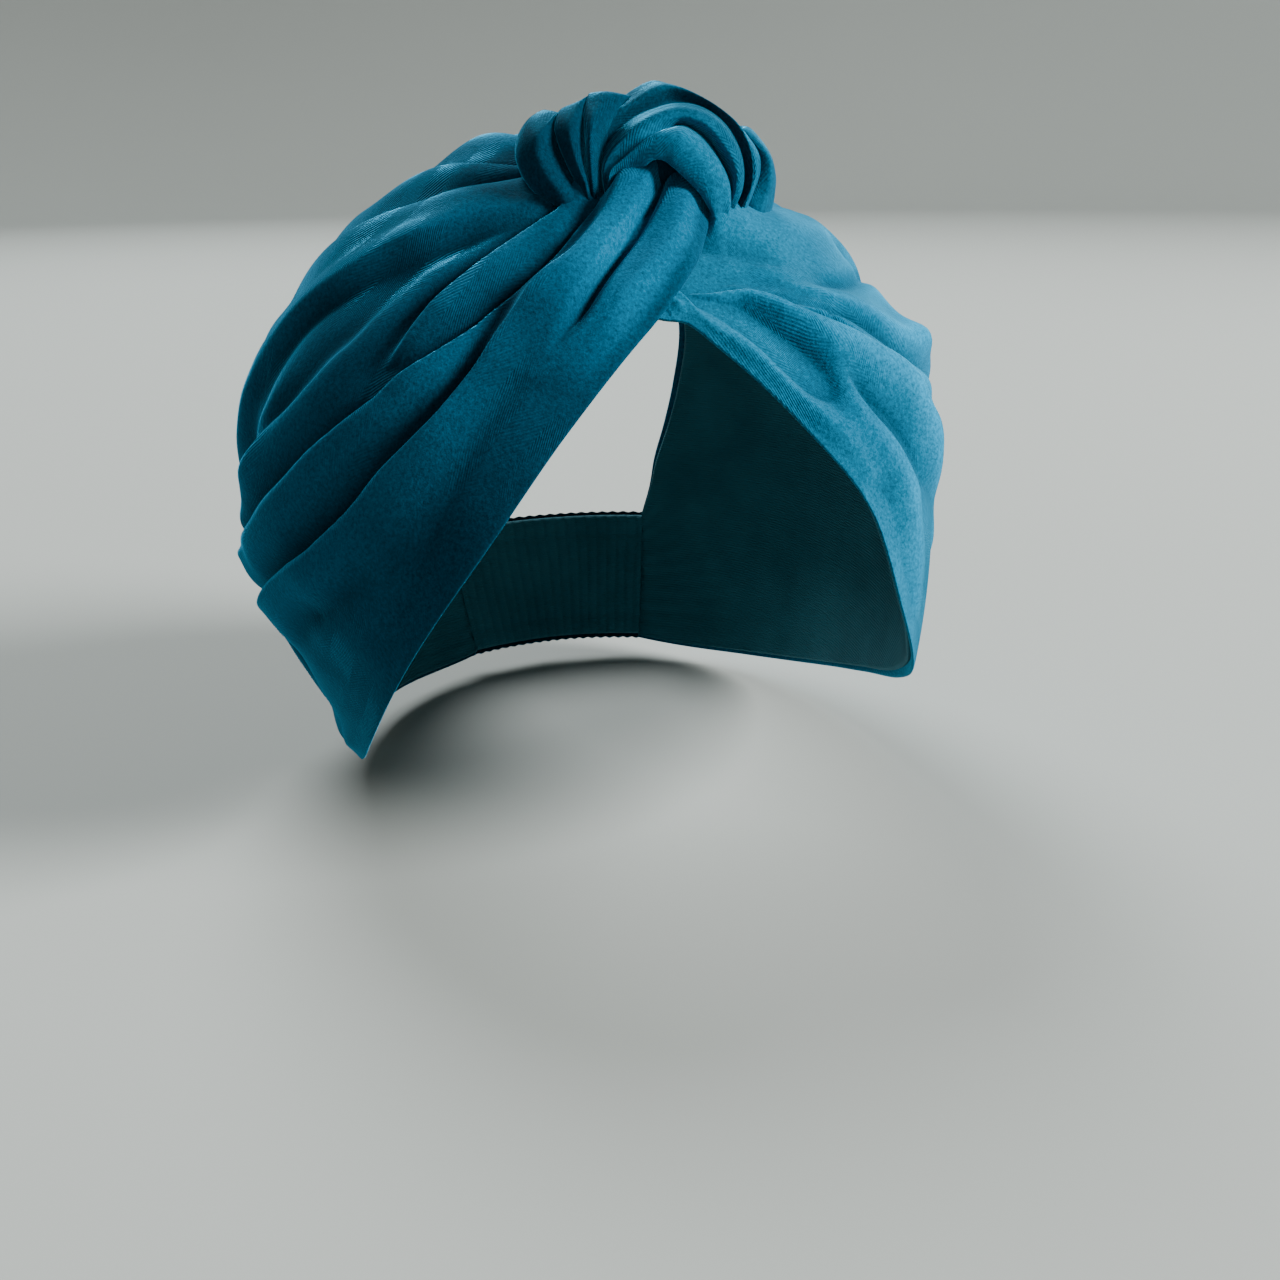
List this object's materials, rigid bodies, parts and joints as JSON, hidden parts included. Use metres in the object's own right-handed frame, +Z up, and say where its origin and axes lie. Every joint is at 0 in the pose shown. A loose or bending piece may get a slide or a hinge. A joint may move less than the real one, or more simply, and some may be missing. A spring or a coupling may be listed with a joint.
{
  "type": "knotted headband",
  "caption": "Wide turban-style velvet headband with a pre-tied front knot, open crown back and an elastic nape casing.",
  "frame": {"origin": "centre of the head opening, the point the head form is laid out from", "axes": "+Z up, the face looks along -Y, +X to the wearer's left"},
  "size_m": [0.1805, 0.1832, 0.1745],
  "materials": {
    "velvet": "short-pile stretch velvet, teal",
    "lining": "matte knit, teal",
    "elastic": "woven elastic, off-white",
    "thread": "polyester sewing thread"
  },
  "bodies": {
    "root": {"right_wrap": "velvet", "left_wrap": "velvet", "right_lining": "lining", "left_lining": "lining", "knot_core": "velvet", "knot_front_loop": "velvet", "knot_right_fan": "velvet", "knot_left_wing": "velvet"},
    "nape": {"nape_casing": "velvet", "nape_casing_lining": "lining", "nape_elastic": "elastic", "right_nape_seam": "thread", "left_nape_seam": "thread"}
  },
  "joints": [
    {"name": "nape_elastic_stretch", "type": "slide", "parent": "root", "child": "nape", "axis": [0, 1, 0], "range_m": [0, 0.018], "stiffness_N_per_m": 250}
  ]
}
